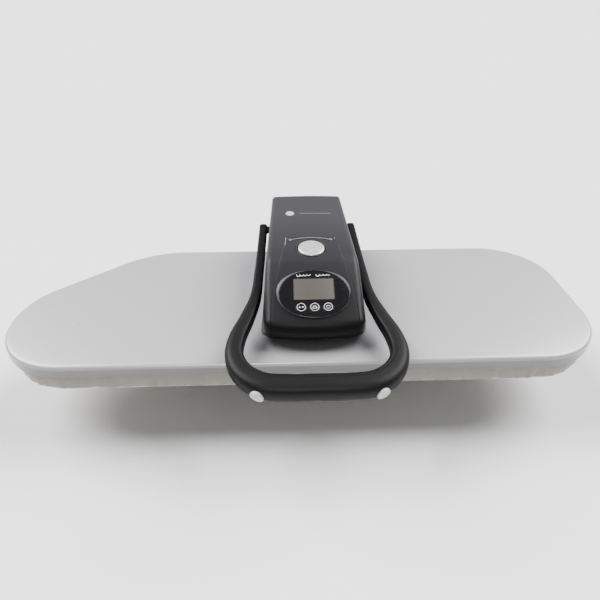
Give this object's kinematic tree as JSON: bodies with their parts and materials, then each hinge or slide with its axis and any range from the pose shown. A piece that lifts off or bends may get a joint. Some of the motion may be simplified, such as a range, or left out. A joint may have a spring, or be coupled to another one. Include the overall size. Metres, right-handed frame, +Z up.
{
  "type": "steam ironing press",
  "caption": "Table-top steam ironing press with a padded board, a lifting heated shoe, a control tower and a looped pressing handle.",
  "frame": {"origin": "centre of the bounding box's base, on the table", "axes": "+X along the board, -Y towards the grip at the front, +Z up"},
  "size_m": [0.81, 0.4205, 0.2187],
  "materials": {
    "rubber": "matt moulded rubber",
    "base_paint": "grey powder coat",
    "steel": "zinc-plated steel",
    "cotton": "grey woven cotton",
    "foam": "open-cell foam",
    "mat": "ceramic fibre mat",
    "shoe_paint": "silver paint",
    "cast_aluminium": "machined aluminium",
    "brass": "turned brass",
    "ceramic": "white ceramic",
    "charcoal": "satin charcoal moulding",
    "black": "satin black moulding",
    "bezel": "satin grey moulding",
    "window": "gloss black panel",
    "lcd": "liquid crystal display",
    "board": "circuit board",
    "keys": "printed key caps",
    "bright": "satin plated",
    "light_grey": "light grey moulding",
    "clear": "tinted clear plastic",
    "silicone": "silicone tube"
  },
  "bodies": {
    "base": {"rubber_feet": "rubber", "base_pan": "base_paint", "bottom_plate": "base_paint", "board_column": "base_paint", "hinge_bracket_left": "steel", "hinge_bracket_right": "steel", "bracket_bolts": "steel", "hinge_pin": "steel", "link_pin": "steel", "lift_spring": "steel", "rear_guard": "base_paint", "cord_inlet": "rubber", "board_tray": "steel", "foam_pad": "foam", "board_cover": "cotton", "board_screws": "steel"},
    "pressing_arm": {"shoe_cover": "shoe_paint", "insulation_mat": "mat", "heat_plate": "cast_aluminium", "heating_element": "steel", "steam_chamber": "steel", "plate_studs": "steel", "temperature_sensor": "brass", "thermal_fuse": "ceramic", "arm_frame": "steel", "hinge_bushes": "brass", "shaft_bushes": "brass", "tower_shell": "charcoal", "front_fascia": "charcoal", "display_bezel": "bezel", "display_window": "window", "lcd_module": "lcd", "control_board": "board", "button_dish": "black", "steam_valve": "brass", "water_pump": "black", "water_hoses": "silicone", "power_board": "board", "tank_tray": "charcoal", "badge": "bright", "frame_screws": "steel"},
    "steam_dial": {"valve_stem": "brass"},
    "steam_button": {"steam_button": "bright", "button_spring": "steel"},
    "power_key": {"power_key": "keys"},
    "heat_key": {"heat_key": "keys"},
    "timer_key": {"timer_key": "keys"},
    "handle": {"handle_upper_shell": "black", "handle_lower_shell": "black", "handle_core": "steel", "handle_shaft": "steel", "shaft_crank": "steel", "crank_pin": "steel", "grip_caps": "light_grey"},
    "toggle_link": {"toggle_link": "steel"},
    "water_tank": {"water_tank": "clear", "tank_cap_pin": "steel"},
    "tank_cap": {"tank_cap": "black"}
  },
  "joints": [
    {"name": "shoe_lift", "type": "hinge", "parent": "base", "child": "pressing_arm", "pos_m": [0.0125, 0.18012, 0.103], "axis": [-1, 0, 0], "range_deg": [0, 48]},
    {"name": "handle_swing", "type": "hinge", "parent": "pressing_arm", "child": "handle", "pos_m": [0.0125, 0.11312, 0.18], "axis": [-1, 0, 0], "range_deg": [0, 64.6]},
    {"name": "link_swing", "type": "hinge", "parent": "handle", "child": "toggle_link", "pos_m": [0.0125, 0.09512, 0.18], "axis": [1, 0, 0], "range_deg": [0, 46.4]},
    {"name": "steam_dial_turn", "type": "hinge", "parent": "pressing_arm", "child": "steam_dial", "pos_m": [0.0125, 0.0058, 0.18609], "axis": [0, -0.084, 0.9965], "range_deg": [0, 70]},
    {"name": "steam_button_press", "type": "slide", "parent": "steam_dial", "child": "steam_button", "axis": [0, 0.084, -0.9965], "range_m": [0, 0.003], "stiffness_N_per_m": 800, "springref_m": -0.002, "deforming": ["button_spring"]},
    {"name": "power_key_press", "type": "slide", "parent": "pressing_arm", "child": "power_key", "axis": [0, 0.454, -0.891], "range_m": [0, 0.0008], "stiffness_N_per_m": 600, "springref_m": -0.0005},
    {"name": "heat_key_press", "type": "slide", "parent": "pressing_arm", "child": "heat_key", "axis": [0, 0.454, -0.891], "range_m": [0, 0.0008], "stiffness_N_per_m": 600, "springref_m": -0.0005},
    {"name": "timer_key_press", "type": "slide", "parent": "pressing_arm", "child": "timer_key", "axis": [0, 0.454, -0.891], "range_m": [0, 0.0008], "stiffness_N_per_m": 600, "springref_m": -0.0005},
    {"name": "tank_pull", "type": "slide", "parent": "pressing_arm", "child": "water_tank", "axis": [0, 1, 0], "range_m": [0, 0.065]},
    {"name": "tank_cap_hinge", "type": "hinge", "parent": "water_tank", "child": "tank_cap", "pos_m": [0.0125, 0.17009, 0.20237], "axis": [1, 0, 0], "range_deg": [0, 75]}
  ],
  "couplings": [
    {"joint": "handle_swing", "follows": "shoe_lift", "ratio": 1.345},
    {"joint": "link_swing", "follows": "shoe_lift", "ratio": 0.966}
  ]
}
